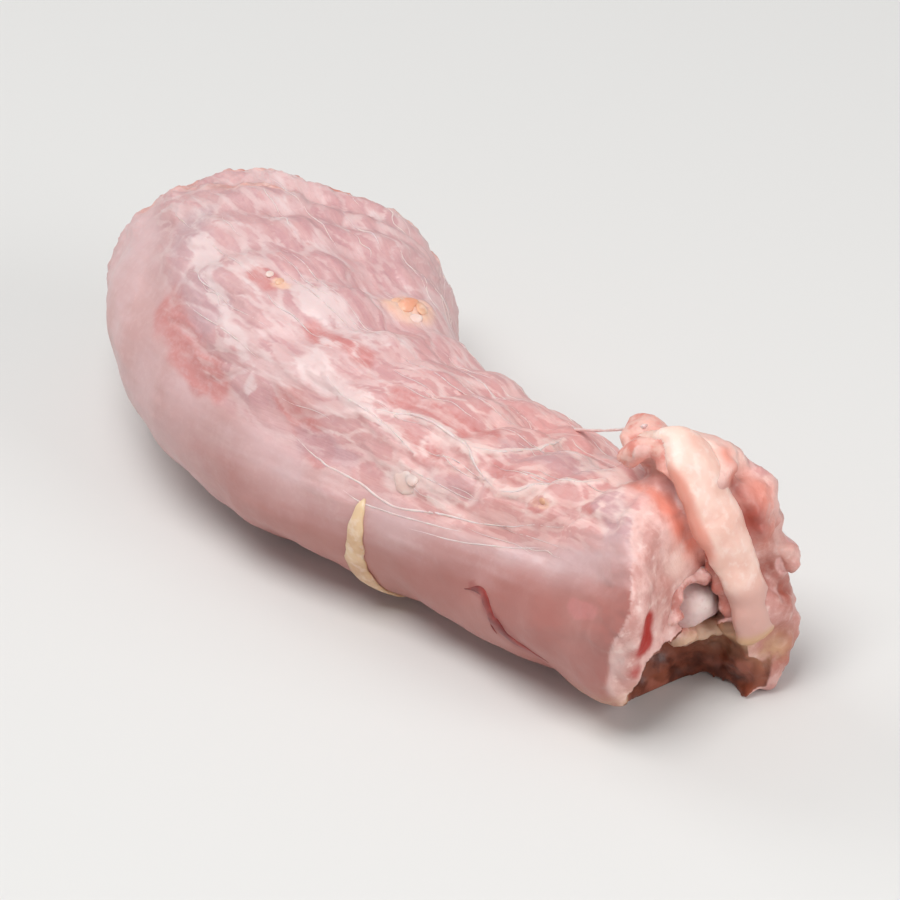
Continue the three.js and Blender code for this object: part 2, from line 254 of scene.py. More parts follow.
class Finish:
    """A wet material with one Principled shader."""

    def __init__(self, name, **constants):
        self.material = bpy.data.materials.new(name)
        self.material.use_nodes = True
        self.nodes = self.material.node_tree.nodes
        self.links = self.material.node_tree.links
        self.shader = self.nodes["Principled BSDF"]
        for socket, value in {**WET, **constants}.items():
            self.shader.inputs[socket.replace("_", " ")].default_value = value

    def node(self, kind, settings=(), inputs=(), output=0):
        """Adds a node: its settings first, then its sockets by name or number."""
        made = self.nodes.new("ShaderNode" + kind)
        for setting, value in dict(settings).items():
            setattr(made, setting, value)
        for socket, value in inputs.items() if isinstance(inputs, dict) else enumerate(inputs):
            self.put(made.inputs[socket], value)
        return Value(self, made.outputs[output])

    def put(self, socket, value):
        if isinstance(value, Value):
            self.links.new(value.socket, socket)
        else:
            socket.default_value = value

    def __getitem__(self, name):
        """A number that is kept on the points."""
        return self.node("Attribute", {"attribute_name": name}, output="Fac")

    def place(self):
        return self.node("TexCoord", output="Object")

    def scaled(self, where, stretch):
        return self.node("VectorMath", {"operation": "MULTIPLY"}, [where, stretch])

    def noise(self, where, scale, detail=2.0, roughness=0.5):
        """Soft noise, about 0 to 1. Scale is lumps for each metre."""
        sockets = {"Vector": where, "Scale": scale, "Detail": detail, "Roughness": roughness}
        return self.node("TexNoise", inputs=sockets)

    def rise(self, value, start, end):
        """0 before start, 1 after end, with a soft step between."""
        sockets = {"Value": value, "From Min": start, "From Max": end}
        return self.node("MapRange", {"interpolation_type": "SMOOTHSTEP"}, sockets)

    def mix(self, share, first, second):
        """Mixes two colours. Each is a screen colour or comes from another mix."""
        first, second = (paint(*c) if isinstance(c, tuple) else c for c in (first, second))
        return self.node("Mix", {"data_type": "RGBA"}, {0: share, 6: first, 7: second}, output=2)

    def finish(self, **outputs):
        """Feeds the shader's sockets, and a bump if a height in metres is given."""
        height = outputs.pop("height", None)
        if height is not None:
            outputs["Normal"] = self.node("Bump", inputs={"Height": height, "Distance": 1.0})
        for socket, value in outputs.items():
            self.put(self.shader.inputs[socket.replace("_", " ")], value)
        return self.material


# %% [markdown]
# ## The flesh
# The flesh of a neck is a rope of long muscles. On the outside of the bend one smooth muscle shows. Over
# it runs a seam, and above the seam short slanting muscles are bound down by a thin white film.
#
# Such a surface could be sculpted by hand, or only painted as bump. Here a copy of the measured model
# gets small even faces, loses its facets by smoothing, and is pushed in and out by sums that know where
# each point lies. So the outline stays the measured one, and the relief is real and can be tuned.

# %% Helpers for skins
WELD = 0.02 * MM


def even_skin(node_name, piece_name, face, smoothing):
    """A welded copy of a measured piece, rebuilt from small even faces and smoothed."""
    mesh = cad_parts[node_name].data.copy()
    shape = bmesh.new()
    shape.from_mesh(mesh)
    bmesh.ops.remove_doubles(shape, verts=shape.verts, dist=WELD)
    shape.to_mesh(mesh)
    shape.free()
    mesh.materials.clear()
    piece = bpy.data.objects.new(piece_name, mesh)
    scene.collection.objects.link(piece)
    remesh = piece.modifiers.new("even_faces", "REMESH")
    remesh.mode = "VOXEL"
    remesh.voxel_size = face
    smooth = piece.modifiers.new("no_facets", "SMOOTH")
    smooth.iterations = smoothing
    piece.data = bpy.data.meshes.new_from_object(piece.evaluated_get(bpy.context.evaluated_depsgraph_get()))
    piece.modifiers.clear()
    piece.data.name = piece_name
    piece.data.shade_smooth()
    return piece


def read_vectors(mesh, what):
    vectors = np.empty(len(mesh.vertices) * 3, np.float32)
    mesh.vertices.foreach_get(what, vectors)
    return vectors.reshape(-1, 3).astype(float)


def move_points(mesh, points):
    mesh.vertices.foreach_set("co", points.astype(np.float32).ravel())
    mesh.update()


def keep_on_points(mesh, name, values):
    """Stores a number or a vector for each point, for the finish to read."""
    vectors = values.ndim == 2
    attribute = mesh.attributes.new(name, "FLOAT_VECTOR" if vectors else "FLOAT", "POINT")
    attribute.data.foreach_set("vector" if vectors else "value", values.astype(np.float32).ravel())


def unevenness(points, size, seed):
    """Soft noise, about -1 to 1, for an array of points. Size is one for all sides, or one for each."""
    return np.array([noise.noise(p) for p in (points / size + seed).tolist()]) * 1.5


def rise(values, start, end):
    """0 before start, 1 after end, with a soft step between."""
    share = np.clip((values - start) / (end - start), 0, 1)
    return share * share * (3 - 2 * share)


def bell(distance, spread):
    return np.exp(-((distance / spread) ** 2))


def swell(place, size):
    """Soft noise, about -0.7 to 0.7, at one place. Size is in mm."""
    return noise.noise(place / (size * MM))


FLESH_FACE = 0.585 * MM
CHANNEL_RADIUS = 9.5 * MM
CHANNEL_BELOW = 2 * MM
CHANNEL_FROM_ENDS = 17 * MM
flesh = even_skin("neck_flesh", "flesh_skin", FLESH_FACE, smoothing=13)
print("flesh faces:", len(flesh.data.polygons))

# %% [markdown]
# The channel that the bone runs through is out of sight, but its wall takes a fifth of the faces. So the
# wall is removed between the two ends, and each end of the channel gets a bottom.

# %% Closing the channel
shape = bmesh.new()
shape.from_mesh(flesh.data)
middles = np.array([face.calc_center_median() for face in shape.faces])
along, across, up = neck_places(middles)
inside = np.hypot(across, up + CHANNEL_BELOW) < CHANNEL_RADIUS
inside &= (along > CHANNEL_FROM_ENDS) & (along < LENGTH - CHANNEL_FROM_ENDS)
bmesh.ops.delete(shape, geom=[face for face, out in zip(list(shape.faces), inside) if out], context="FACES")
rims = [edge for edge in shape.edges if edge.is_boundary]
bmesh.ops.holes_fill(shape, edges=rims, sides=0)
bottoms = [face for face in shape.faces if len(face.verts) > 4]
bmesh.ops.triangulate(shape, faces=bottoms)
shape.to_mesh(flesh.data)
shape.free()
flesh.data.shade_smooth()
print("channel ends closed:", len(bottoms), "- faces now:", len(flesh.data.polygons))

# %% [markdown]
# ### Where each point of the flesh lies
# The seam between the smooth muscle and the slanting ones wanders, so its angle is given at a few
# distances along the neck. The grain is the way the fibres run: along the neck near the cut end, and
# sweeping inwards over the thick end.

# %% Places and grain
SEAM_ALONG = np.array([0, 21, 48, 62, 75, 90, 103, 124, 136]) * MM
SEAM_DEGREES = np.array([146, 144, 151, 156, 159, 154, 145, 128, 118])
GIRTH_RADIUS = 19 * MM
SWEEP = 22 * MM
SWEEP_REACH = 45 * MM

points = read_vectors(flesh.data, "co")
normals = read_vectors(flesh.data, "normal")
along, across, up = neck_places(points)
degrees = degrees_round(across, up)


def swept(along):
    """How far the fibres have swept round the neck."""
    return SWEEP * (1 - np.exp(-np.clip(along, 0, None) / SWEEP_REACH))


# Places counted along the fibres, across them and in depth.
grain = np.stack([along, np.radians(degrees) * GIRTH_RADIUS + swept(along), np.hypot(across, up)], axis=1)
turn = np.clip((along - THICK_END_STRAIGHT) / BEND_RADIUS, 0, BEND) + THICK_END_HEADING
facing_out = normals[:, 0] * np.cos(turn) + normals[:, 1] * np.sin(turn)
on_cut_end = rise(facing_out, 0.35, 0.75) * rise(along, LENGTH - 24 * MM, LENGTH - 16 * MM)
on_thick_end = rise(-facing_out, 0.2, 0.5) * rise(-along, -20 * MM, -14 * MM)
on_side = 1 - np.clip(on_cut_end + on_thick_end, 0, 1)
streak = unevenness(grain, np.array([22, 1.6, 30]) * MM, 63)
seam = np.interp(along, SEAM_ALONG, SEAM_DEGREES) + 4 * unevenness(points, 12 * MM, 61) + 3 * streak
above_seam = rise(seam - degrees, -9, 9)
film_side = above_seam * rise(degrees, -70, -30)
smooth_muscle = (1 - above_seam) * rise(-degrees, -250, -225)
underneath = rise(-points[:, 2], -3 * MM, -0.6 * MM)
print("points on the cut end:", (on_cut_end > 0.5).sum(), "on the thick end:", (on_thick_end > 0.5).sum())

# %% [markdown]
# Three things shape the cut end: a band of fat that hangs over it from a knob, a hollow torn into it under
# the bone, and a knot of gristle at the far rim. Each is given in mm across and up from the middle of
# the cut face, and out from it, as on the measured model.

# %% Places on the cut end
# Mm across, up and out, and half the width of the band there.
BAND_LINE = [
    (0.8, 23, -14, 1.8), (2.0, 25.5, -9.5, 3.0), (2.8, 23.6, -4.4, 4.2), (3.0, 16.6, -0.8, 4.5),
    (4.8, 8.7, 1.0, 4.2), (6.5, 1.4, 2.2, 3.8), (7.4, -4.1, 2.8, 4.2), (8.0, -8.8, 2.4, 4.2),
]
BAND_RINGS = 90
HOLLOW_AT, HOLLOW_SIZE = (-3, -14.2, 0), (11.8, 11.4, 12)


def soft_line(marks, count):
    """Evenly spread values along a soft curve through the marks."""
    marks = np.array(marks, float)
    knots = np.concatenate([[2 * marks[0] - marks[1]], marks, [2 * marks[-1] - marks[-2]]])
    at = np.linspace(0, len(marks) - 1, count)
    first = np.minimum(at.astype(int), len(marks) - 2)
    t = (at - first)[:, None]
    a, b, c, d = (knots[first + k] for k in range(4))
    return 0.5 * (2 * b + (c - a) * t + (2 * a - 5 * b + 4 * c - d) * t**2 + (3 * b - a - 3 * c + d) * t**3)


band_line = soft_line(BAND_LINE, BAND_RINGS)
face_places = np.stack([across, up, along - LENGTH], axis=1) / MM
facing_across = normals[:, 1] * np.cos(turn) - normals[:, 0] * np.sin(turn)
facing = np.stack([facing_across, normals[:, 2], facing_out], axis=1)
from_band = np.full(len(points), 99.0)
near_end = np.nonzero(face_places[:, 2] > -24)[0]
for ring in band_line[::3]:
    distance = np.linalg.norm(face_places[near_end] - ring[:3], axis=1) - ring[3]
    from_band[near_end] = np.minimum(from_band[near_end], distance)
under_band = rise(-from_band, -1.6, 0.2)
to_hollow = HOLLOW_AT - face_places
hollow_share = np.linalg.norm(to_hollow / HOLLOW_SIZE, axis=1)
facing_hollow = (to_hollow * facing).sum(axis=1) / np.linalg.norm(to_hollow, axis=1)
hollow = rise(-hollow_share, -1.35, -1.2) * rise(facing_hollow, 0.15, 0.5)
print("points under the band:", (under_band > 0.5).sum(), "in the hollow:", (hollow > 0.5).sum())

# %% [markdown]
# ### Ridges of film
# Where the film is gathered it stands up as a pale ridge. Each ridge follows a line of places on the real
# neck, given as mm along and degrees round, and has half a width in mm. Patches of colour are given in the
# same way, so one helper tells how strongly either covers each point.

# %% Patches and ridges
MM_PER_DEGREE = math.radians(1) * GIRTH_RADIUS / MM
FILM_RIDGES = [
    ([(71, 121), (75.7, 113), (79, 110), (85.5, 108), (91.4, 111), (94.8, 117), (101.5, 123)], 0.85),
    ([(101.5, 123), (104.5, 120), (107, 112), (111, 106), (114.4, 104), (117, 97)], 0.7),
    ([(91.9, 110), (96, 104), (98.5, 92), (99.9, 79), (98, 64)], 0.6),
    ([(62.2, 118), (66, 121), (72, 121), (77.8, 123), (83.5, 127)], 0.5),
]


def patches(places, wobble):
    """How strongly soft patches cover each point. A patch runs from one place to another and has half a
    width in mm. Wobble, in mm, makes its edge uneven."""
    cover = np.zeros(len(along))
    x, y = along / MM, degrees * MM_PER_DEGREE
    for from_along, from_degrees, to_along, to_degrees, half_width in places:
        from_y = from_degrees * MM_PER_DEGREE
        step = np.array([to_along - from_along, to_degrees * MM_PER_DEGREE - from_y])
        share = np.clip(((x - from_along) * step[0] + (y - from_y) * step[1]) / step.dot(step), 0, 1)
        far = np.hypot(x - from_along - share * step[0], y - from_y - share * step[1]) + wobble
        cover = np.maximum(cover, rise(-far, -1.3 * half_width, -0.6 * half_width))
    return cover


ridge_patches = [(*a, *b, width) for line, width in FILM_RIDGES for a, b in zip(line, line[1:])]
ridges = patches(ridge_patches, 0.35 * unevenness(points, 2.2 * MM, 55)) * film_side
seam_folds = bell(degrees - seam - 4, 8) * rise(streak, -0.1, 0.4) * rise(along, 50 * MM, 75 * MM)
seam_folds = seam_folds * rise(-along, -LENGTH + 8 * MM, -LENGTH + 18 * MM)
print("points on ridges:", (ridges > 0.5).sum(), "on folds at the seam:", (seam_folds > 0.5).sum())

# %% [markdown]
# ### Slivers of muscle
# Under the film the muscle shows as slivers: long narrow cells, some rose, some pale, with white film
# between them. A cell pattern stretched along the grain gives them. Each cell has a tone of its own, and
# on a border the nearest cell centre and the next are equally far. The same cells shape the surface and
# colour it, so that relief and colour agree.

# %% Cells stretched along the grain
SLIVER = np.array([10.5, 2.4, 30]) * MM
FINE_SLIVER = np.array([3.6, 1.1, 20]) * MM
TONE_SCATTER = 7.31


def cells(where, size, seed):
    """For each point: how far it is inside its cell, 0 on a border, and the tone of the cell, 0 to 1."""
    inside, tone = np.empty(len(where)), np.empty(len(where))
    for i, place in enumerate((where / size + seed).tolist()):
        distances, centres = noise.voronoi(place)
        inside[i] = distances[1] - distances[0]
        tone[i] = noise.cell(centres[0] * TONE_SCATTER)
    return inside, tone


def wander(where, size, reach, seed):
    """Points moved a little along and across the grain, so that straight borders wander."""
    sideways = unevenness(where, size, seed) * reach
    lengthwise = unevenness(where, size, seed + 3) * reach
    return where + np.stack([lengthwise, sideways, np.zeros(len(where))], axis=1)


wandering = wander(wander(grain, 12 * MM, 2.4 * MM, 21), 3.5 * MM, 0.5 * MM, 25)
inside_sliver, sliver_tone = cells(wandering, SLIVER, 2)
inside_fine, fine_tone = cells(wandering, FINE_SLIVER, 5)
print("sliver tones:", round(sliver_tone.min(), 2), "to", round(sliver_tone.max(), 2))

# %% [markdown]
# ### The relief
# Each sliver is a soft ridge. Film that is pulled tight stands up in thin sharp folds: one minus the absolute
# value of noise. Near the cut end the short muscles leave slanting creases, one for each bone.

# %% Relief of the sides
BUNDLE = np.array([18, 4.2, 12]) * MM
FILM_FOLD = np.array([13, 3.0, 9]) * MM
SEGMENT_PITCH = 11 * MM
SEGMENT_SLANT = 0.9
SOFT_LUMP = 9 * MM

bundles = np.abs(unevenness(wandering, BUNDLE, 2))
film_folds = np.clip(1 - np.abs(unevenness(wandering, FILM_FOLD, 9)), 0, 1) ** 8
segment_wave = np.abs(np.sin(math.pi * (along / SEGMENT_PITCH + SEGMENT_SLANT * degrees / 90)))
segment_creases = (1 - segment_wave) ** 4 * bell(degrees - 95, 48) * rise(along, 45 * MM, 70 * MM)
soft = unevenness(points, SOFT_LUMP, 31)
pitting = unevenness(points, 2.4 * MM, 37)
sliver_relief = rise(inside_sliver, 0, 0.35) * (0.4 + 0.6 * sliver_tone)
fine_relief = rise(inside_fine, 0, 0.35) * (0.4 + 0.6 * fine_tone)

lift = film_side * (0.34 * (bundles - 0.3) + 0.42 * (sliver_relief - 0.4) + 0.14 * (fine_relief - 0.4))
lift = lift + film_side * (0.22 * film_folds - 0.35 * segment_creases)
inner = (1 - film_side) * (1 - smooth_muscle)
lift = lift + inner * (0.4 * (bundles - 0.3) + 0.25 * (sliver_relief - 0.4))
lift = lift + smooth_muscle * (0.1 * (bundles - 0.3) + 0.05 * pitting) + 0.4 * ridges + 0.18 * seam_folds
lift = lift + 0.3 * soft * on_side + 0.06 * pitting * film_side
lift = lift * on_side * (1 - underneath)
print("relief of the sides, mm:", round(lift.min(), 2), "to", round(lift.max(), 2))

# %% Relief of the cut ends
LUMP = 3.4 * MM
SMALL_LUMP = 1.3 * MM
torn = unevenness(points, LUMP, 41)
torn_fine = unevenness(points, SMALL_LUMP, 43)
torn_edge = np.clip(bell(LENGTH - along, 9 * MM) + bell(along, 9 * MM), 0, 1)
ragged = np.clip(on_cut_end + on_thick_end + 0.6 * torn_edge, 0, 1)
near_face = on_cut_end * rise(-across, -6 * MM, 2 * MM)
raggedness = np.maximum(ragged * (1 - 0.65 * near_face), 0.8 * hollow) * (1 - underneath)
lift = lift + raggedness * (0.6 * torn + 0.36 * torn_fine)
lift = lift * (1 - under_band) - 0.7 * under_band

points = points + normals * (lift * MM)[:, None]
points[:, 2] = np.maximum(points[:, 2], 0)
move_points(flesh.data, points)
print("relief everywhere, mm:", round(lift.min(), 2), "to", round(lift.max(), 2))

# %% [markdown]
# ### Where the colours lie
# The finish can't know where the seam or the band of fat is, so the places are worked out here, as
# numbers from 0 to 1 for each point: how much white film lies over the muscle, where bare red muscle
# shows, where it is stained with blood, and so on. The finish only breaks their edges up with noise.

# %% Patches of colour
# Each patch runs from one place to another: mm along and degrees round, twice, and half its width in mm.
RED_PATCHES = [
    (33, 145, 48, 150, 2.6), (59, 135, 67, 149, 2.2), (74, 106, 92, 97, 1.9), (54, 104, 64, 99, 1.7),
    (108, 121, 111, 121, 1.7), (118.6, 114, 121, 114, 1.4), (80, 121, 86, 122, 1.4),
    (98, 112, 104, 112, 1.7), (125, 160, 130, 158, 1.4), (40, 108, 43, 105, 1.6),
]
GREY_PATCHES = [
    (90, 134, 96, 129, 2.6), (121.5, 106, 129, 118, 2.4), (18, 126, 40, 132, 3.0), (64, 146, 72, 147, 2.0),
    (98, 96, 112, 88, 3.2),
]
PALE_PATCHES = [
    (26, 124, 34, 124, 1.6), (34, 124, 52, 134, 0.9), (52, 134, 54, 147, 0.7), (60, 118, 70, 120, 2.4),
    (47, 94, 62, 88, 2.6), (105, 80, 120, 92, 2.0), (82, 142, 85, 140, 2.6),
]
RINGED_PATCHES = [
    (119.3, 114, 120.6, 114, 1.3), (124.6, 113, 126.6, 115, 1.6), (109, 121, 110.5, 121, 1.5),
    (120, 104, 122, 104, 1.2), (91, 133, 94, 130, 2.4), (85, 118, 89, 119, 1.6),
]
PEACH_PATCHES = [(53, 56, 57, 50, 2.8), (43, 102, 44, 101, 0.7), (109, 120, 111, 119, 0.8)]
STAIN_PATCHES = [(102, 174, 106, 180, 0.9), (106, 180, 109, 190, 2.0), (109, 190, 114, 198, 2.3)]
# Each spot on the cut end: mm across and up from its middle, half its width and height, and its strength.
CUT_END_SPOTS = {
    "blood": [(-12.3, 3.2, 2.9, 3.0, 1), (-12.8, 0.4, 3.0, 3.2, 1), (-14.6, -4.4, 2.2, 2.4, 0.6)],
    "coral": [
        (-2.2, 24, 1.3, 3.5, 0.7), (-2.1, 19, 1.5, 3.5, 1), (-1.8, 15, 1.5, 3, 1), (0, 11.5, 1.8, 3, 1),
        (1, 8.5, 1.4, 2, 0.7), (10.5, 16, 3, 3.5, 0.8), (11, 10, 2.5, 3, 0.5), (8.6, 23.5, 1.5, 1.5, 0.8),
        (8, 20.5, 1.6, 1.6, 0.8), (3, 28, 2.5, 2, 0.5),
    ],
    # Dark red spots are partly deeper red flesh and partly painted shade, in recesses and under the band.
    "dark_red_and_shade": [(8, 13.4, 2.6, 4, 1), (7.8, 18.5, 1.2, 3.5, 0.8), (1.6, 6, 1.8, 2.6, 0.6)],
    "mauve": [
        (11.5, 9, 3.5, 4, 0.8), (11.5, 3, 3.5, 3.5, 0.9), (13, -2, 3.5, 4, 1), (11, -11, 4.5, 5.5, 1),
        (3, 3.5, 3, 3, 0.6), (-7, 6, 3, 5, 0.4),
    ],
    "cream": [
        (6.5, 24.5, 4.5, 3.5, 1), (10.8, 22, 2.5, 3, 0.8), (-2.8, 9.2, 2.2, 3, 0.8),
        (14, 5.5, 1.4, 1.6, 0.4),
    ],
    "yellowish": [
        (0, -5.5, 4, 1.6, 0.9), (4, -7.5, 3, 1.8, 1), (9.5, -10.5, 3.5, 2.2, 0.8),
        (-14.5, -12.5, 3, 4, 0.7),
    ],
}


def face_spots(spots):
    """How strongly soft spots cover the points of the cut end."""
    cover = np.zeros(len(along))
    for at_across, at_up, half_width, half_height, strength in spots:
        far = np.hypot((across / MM - at_across) / half_width, (up / MM - at_up) / half_height)
        cover = np.maximum(cover, strength * bell(far, 1))
    return cover * near_cut_end


near_cut_end = rise(along, LENGTH - 18 * MM, LENGTH - 12 * MM)
wobble = 0.9 * unevenness(points, 3.5 * MM, 51)
rings = patches([(*place[:4], 1.6 * place[4]) for place in RINGED_PATCHES], 0.4 * wobble)
rings = rings - patches(RINGED_PATCHES, 0.4 * wobble)
mixed_tone = sliver_tone + 0.5 * (fine_tone - 0.5)
tender = 1 - 0.6 * rise(-degrees, -70, -20)
cut = np.clip(on_cut_end + on_thick_end + hollow, 0, 1)
colour_places = {
    "grain": grain,
    "film_side": film_side,
    "smooth_muscle": smooth_muscle,
    "muscle": rise(mixed_tone, 0.58, 0.3) * rise(inside_sliver, 0.03, 0.2),
    "pale_sliver": rise(mixed_tone, 0.66, 0.9) * rise(inside_sliver, 0.0, 0.15) * tender,
    "border": 1 - rise(inside_sliver, 0.02, 0.16),
    "plain": rise(-degrees, -60, -15),
    "toward_cut": rise(along, 50 * MM, 105 * MM),
    # Darker and browner towards the underside: painted shade, on a muscle that is a little browner there.
    "low_side_shade": smooth_muscle * rise(degrees - seam, 2, 30) * rise(along, 24 * MM, 72 * MM),
    "cut": cut,
    "rim": bell(on_cut_end - 0.45, 0.3) * rise(-across, 3 * MM, 8 * MM) * rise(up, -12 * MM, -6 * MM),
    "red": patches(RED_PATCHES, wobble),
    "grey": patches(GREY_PATCHES, wobble),
    "pale": np.maximum.reduce([0.8 * patches(PALE_PATCHES, wobble) * film_side, ridges, 0.8 * rings]),
    "thick_end": on_thick_end,
    "peach": patches(PEACH_PATCHES, wobble),
    "stain": patches(STAIN_PATCHES, wobble),
    "knob": rise(up, 20.5 * MM, 23.5 * MM) * rise(along, LENGTH - 24 * MM, LENGTH - 20 * MM),
    "folds": seam_folds,
    "hollow": hollow,
    **{name: face_spots(spots) for name, spots in CUT_END_SPOTS.items()},
}
for name, values in colour_places.items():
    keep_on_points(flesh.data, name, values)
print("places of colour:", len(colour_places))

# %% [markdown]
# ### The finish of the flesh
# Under the film raw flesh is rose with darker streaks along the grain. The film veils it with lilac white,
# thickest in its folds. A little light goes in and comes out redder, and the surface has a wet gloss.

# %% Flesh finish
def flesh_finish():
    f = Finish(
        "raw_flesh",
        Subsurface_Weight=0.18,
        Subsurface_Radius=(1.0, 0.45, 0.35),
        Subsurface_Scale=0.002,
        Specular_IOR_Level=0.4,
    )
    place = f.place()
    grain = f.node("Attribute", {"attribute_name": "grain"}, output="Vector")
    fibres = f.noise(f.scaled(grain, (110, 800, 200)), 1.0, 3.0, 0.6)
    strokes = f.noise(f.scaled(grain, (85, 430, 120)), 1.0, 4.0, 0.6)
    veils = f.noise(f.scaled(grain, (60, 170, 100)), 1.0, 3.0, 0.55)
    clouds = f.noise(place, 70, 3.0)
    mottle = f.noise(place, 300, 3.0, 0.6)
    fine = f.noise(place, 900, 2.0, 0.6)
    film_side, cut, warm = f["film_side"], f["cut"], f["toward_cut"]

    rose = f.mix(f.rise(clouds, 0.35, 0.65), (211, 171, 170), (217, 182, 180))
    rose = f.mix(warm, rose, (229, 180, 174))
    bare = f.mix(f.rise(fibres, 0.35, 0.65), (199, 150, 152), (209, 163, 162))
    bare = f.mix(warm * 0.8, bare, (218, 155, 149))
    white = f.mix(warm, (227, 204, 202), (240, 210, 202))
    shown = f["muscle"] + f.rise(strokes, 0.6, 0.42) * 0.6 - f.rise(fibres, 0.6, 0.4) * 0.4
    shown = f.rise(shown, 0.25, 0.95)
    streaked = f.mix(shown * (1 - 0.65 * f["plain"]), rose, bare)
    calm = f.mix(f.rise(clouds + 0.3 * fibres, 0.45, 0.8), (204, 160, 157), (216, 180, 180))
    # The low tone is painted shade on the lower side, over a slightly browner muscle.
    low = f.mix(f.rise(clouds, 0.35, 0.65), (172, 98, 88), (182, 116, 106))
    calm = f.mix(f["low_side_shade"] * 0.92, calm, low)
    folds = f["folds"] * f.rise(strokes, 0.4, 0.6)
    calm = f.mix(folds * 0.6, calm, (226, 196, 196))
    streaked = f.mix(f["smooth_muscle"], streaked, calm)
    red_cover = f["red"] * f.rise(mottle + strokes, 0.6, 1.05)
    streaked = f.mix(red_cover * 0.85, streaked, (200, 124, 120))
    streaked = f.mix(f["grey"] * f.rise(clouds, 0.2, 0.6) * 0.6, streaked, (192, 156, 161))
    film = f["border"] * f.rise(veils, 0.4, 0.62) * 0.45 + f["pale_sliver"] * f.rise(fibres, 0.3, 0.6) * 0.6
    film = film + f.rise(strokes + 0.4 * fibres, 0.72, 0.9) * 0.5 + f["pale"] * f.rise(mottle, 0.2, 0.55)
    veiled = f.mix(f.rise(film * film_side, 0.05, 0.95) * 0.8, streaked, white)
    veiled = f.mix(f["peach"] * f.rise(mottle, 0.25, 0.6) * 0.8, veiled, (240, 196, 168))
    veiled = f.mix(f["stain"] * f.rise(mottle, 0.1, 0.6) * 0.8, veiled, (160, 76, 68))
    knob = f.mix(f.rise(mottle, 0.4, 0.6), (220, 138, 124), (232, 180, 166))
    veiled = f.mix(f["knob"], veiled, knob)
    specks = f.rise(fine + mottle, 0.95, 1.25) * (1 - f["low_side_shade"])
    veiled = f.mix(specks * 0.15, veiled, (232, 204, 202))

    lumps = f.noise(place, 260, 4.0, 0.6)
    torn = f.mix(f.rise(lumps, 0.36, 0.6), (206, 150, 142), (230, 186, 178))
    torn = f.mix(f.rise(f.noise(place, 520, 3.0), 0.56, 0.7) * 0.5, torn, (243, 216, 208))
    raw = f.rise(f["thick_end"], 0.6, 1.0) * f.rise(f.noise(place, 130, 3.0), 0.45, 0.62)
    torn = f.mix(raw * 0.7, torn, (222, 134, 118))
    torn = f.mix(f["mauve"] * f.rise(lumps, 0.95, 0.45), torn, (164, 86, 70))
    torn = f.mix(f["cream"] * f.rise(mottle, 0.15, 0.45), torn, (244, 210, 198))
    torn = f.mix(f["coral"] * f.rise(mottle, 0.1, 0.5), torn, (236, 146, 126))
    # Dark red: deeper red flesh with painted shade in the recesses and under the band.
    torn = f.mix(f["dark_red_and_shade"], torn, (158, 66, 52))
    colour = f.mix(f.rise(cut + f["coral"] + f["cream"], 0.1, 0.8), veiled, torn)
    colour = f.mix(f["rim"] * 0.6, colour, (238, 204, 198))
    # The dark brown in the torn hollow is painted shade.
    hollow_shade = f.mix(f.rise(lumps, 0.35, 0.65), (92, 38, 20), (144, 76, 52))
    hollow_shade = f.mix(f.rise(f.noise(place, 200, 2.0), 0.58, 0.7) * 0.6, hollow_shade, (176, 102, 82))
    colour = f.mix(f.rise(f["hollow"] + 0.3 * mottle, 0.35, 0.75), colour, hollow_shade)
    colour = f.mix(f["yellowish"] * f.rise(mottle, 0.2, 0.5) * 0.9, colour, (206, 164, 126))
    colour = f.mix(f.rise(f["blood"] + 0.3 * mottle, 0.44, 0.86), colour, (172, 30, 20))

    height = strokes * film_side * 0.0002 + fibres * film_side * 0.0001 + mottle * 0.0001 + fine * 0.00003
    height = height + lumps * cut * 0.0003
    roughness = 0.38 + 0.2 * mottle
    return f.finish(Base_Color=colour, Roughness=roughness, height=height)


flesh.data.materials.append(flesh_finish())
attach(flesh, "root")
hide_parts("neck_flesh")

# %% [markdown]
# ## Laying things on the flesh
# Fat, threads and veins lie on the flesh, so each needs to know where its surface is. A ray from outside
# towards the middle line finds it. Long things are rods: a cylinder whose sides are cut into many rings,
# and whose points are then laid along a soft curve.

# %% Helpers for things on the flesh
OUTSIDE = 70 * MM
surface = BVHTree.FromPolygons(points.tolist(), [tuple(face.vertices) for face in flesh.data.polygons])


def on_side_at(along_mm, degrees_at):
    """The place on the side of the flesh, and the direction away from it."""
    centre, across_way, up_way, _ = middle_frame(along_mm * MM)
    angle = math.radians(degrees_at)
    away = across_way * math.cos(angle) + up_way * math.sin(angle)
    place, normal, _, _ = surface.ray_cast(centre + away * OUTSIDE, -away)
    return place, normal


def add_rod(shape, stations, sides):
    """Adds a rod. A station has a centre, two directions across the rod and half its size in each."""
    rod = bmesh.new()
    steps = len(stations) - 1
    bmesh.ops.create_cone(rod, cap_ends=True, segments=sides, radius1=1, radius2=1, depth=steps)
    lengthwise = [edge for edge in rod.edges if abs(edge.verts[0].co.z - edge.verts[1].co.z) > 0.5]
    bmesh.ops.subdivide_edges(rod, edges=lengthwise, cuts=steps - 1)
    for vert in rod.verts:
        centre, side, out, half_width, half_depth = stations[round(vert.co.z + steps / 2)]
        vert.co = centre + side * vert.co.x * half_width + out * vert.co.y * half_depth
    mesh = bpy.data.meshes.new("rod")
    rod.to_mesh(mesh)
    rod.free()
    shape.from_mesh(mesh)
    bpy.data.meshes.remove(mesh)


def ride_as(piece, finish):
    piece.data.materials.append(finish)
    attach(piece, "root")


def piece_from(shape, name, finish):
    """Makes the object of a finished shape."""
    bmesh.ops.recalc_face_normals(shape, faces=shape.faces)
    mesh = bpy.data.meshes.new(name)
    shape.to_mesh(mesh)
    shape.free()
    mesh.shade_smooth()
    piece = bpy.data.objects.new(name, mesh)
    scene.collection.objects.link(piece)
    ride_as(piece, finish)
    print(name, "triangles:", sum(len(face.vertices) - 2 for face in mesh.polygons))
    return piece


